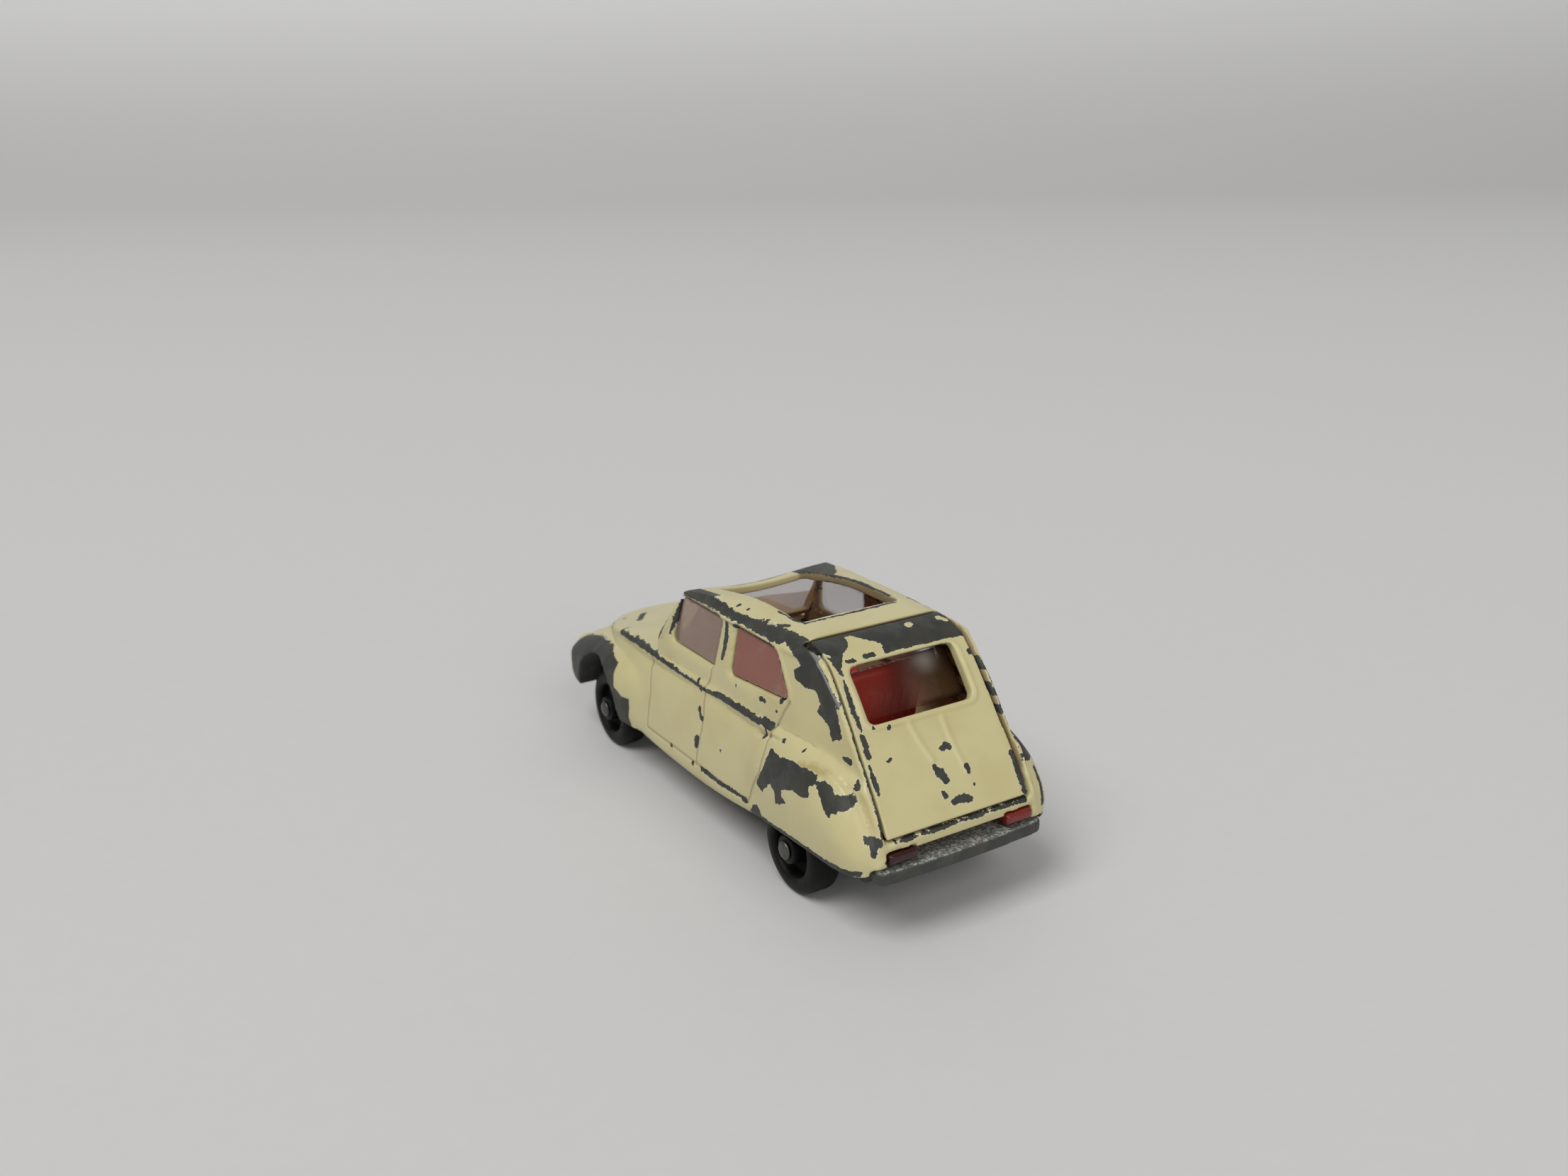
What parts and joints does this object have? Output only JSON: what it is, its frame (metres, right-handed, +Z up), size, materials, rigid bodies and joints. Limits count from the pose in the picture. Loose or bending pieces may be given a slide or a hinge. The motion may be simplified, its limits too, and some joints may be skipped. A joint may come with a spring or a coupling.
{
  "type": "diecast model car",
  "caption": "Small worn diecast saloon car in cream over bare zinc, with a hinged sloping rear hatch, open sunroof, red interior and free-rolling black wheels.",
  "frame": {"origin": "centre of the footprint on the surface that the wheels stand on", "axes": "+Z up, +Y towards the tail, +X towards the car's left side"},
  "size_m": [0.0252, 0.0644, 0.0253],
  "materials": {
    "cream_paint": "glossy cream enamel on zinc, chipped to bare metal",
    "bare_zinc": "dull bare zinc casting, granular on top",
    "red_plastic": "dark red moulding",
    "clear_plastic": "hazy scratched clear moulding",
    "steel_wire": "dull steel wire",
    "black_plastic": "scuffed black moulding"
  },
  "bodies": {
    "chassis": {"body_shell": "cream_paint", "base_plate": "bare_zinc", "interior_tub": "red_plastic", "glazing": "clear_plastic", "front_axle_spring": "black_plastic", "rear_axle_spring": "black_plastic"},
    "hatch": {"rear_hatch": "cream_paint"},
    "front_axle": {"front_axle": "steel_wire"},
    "rear_axle": {"rear_axle": "steel_wire"},
    "front_left_wheel": {"front_left_wheel": "black_plastic"},
    "front_right_wheel": {"front_right_wheel": "black_plastic"},
    "rear_left_wheel": {"rear_left_wheel": "black_plastic"},
    "rear_right_wheel": {"rear_right_wheel": "black_plastic"}
  },
  "joints": [
    {"name": "hatch_hinge", "type": "hinge", "parent": "chassis", "child": "hatch", "pos_m": [0, 0.01805, 0.02365], "axis": [1, 0, 0], "range_deg": [0, 62]},
    {"name": "front_axle_spin", "type": "hinge", "parent": "chassis", "child": "front_axle", "pos_m": [0, -0.02195, 0.00465], "axis": [1, 0, 0], "continuous": true},
    {"name": "rear_axle_spin", "type": "hinge", "parent": "chassis", "child": "rear_axle", "pos_m": [0, 0.01855, 0.00465], "axis": [1, 0, 0], "continuous": true},
    {"name": "front_left_spin", "type": "hinge", "parent": "front_axle", "child": "front_left_wheel", "pos_m": [0, -0.02195, 0.00465], "axis": [1, 0, 0], "continuous": true},
    {"name": "front_right_spin", "type": "hinge", "parent": "front_axle", "child": "front_right_wheel", "pos_m": [0, -0.02195, 0.00465], "axis": [1, 0, 0], "continuous": true},
    {"name": "rear_left_spin", "type": "hinge", "parent": "rear_axle", "child": "rear_left_wheel", "pos_m": [0, 0.01855, 0.00465], "axis": [1, 0, 0], "continuous": true},
    {"name": "rear_right_spin", "type": "hinge", "parent": "rear_axle", "child": "rear_right_wheel", "pos_m": [0, 0.01855, 0.00465], "axis": [1, 0, 0], "continuous": true}
  ]
}
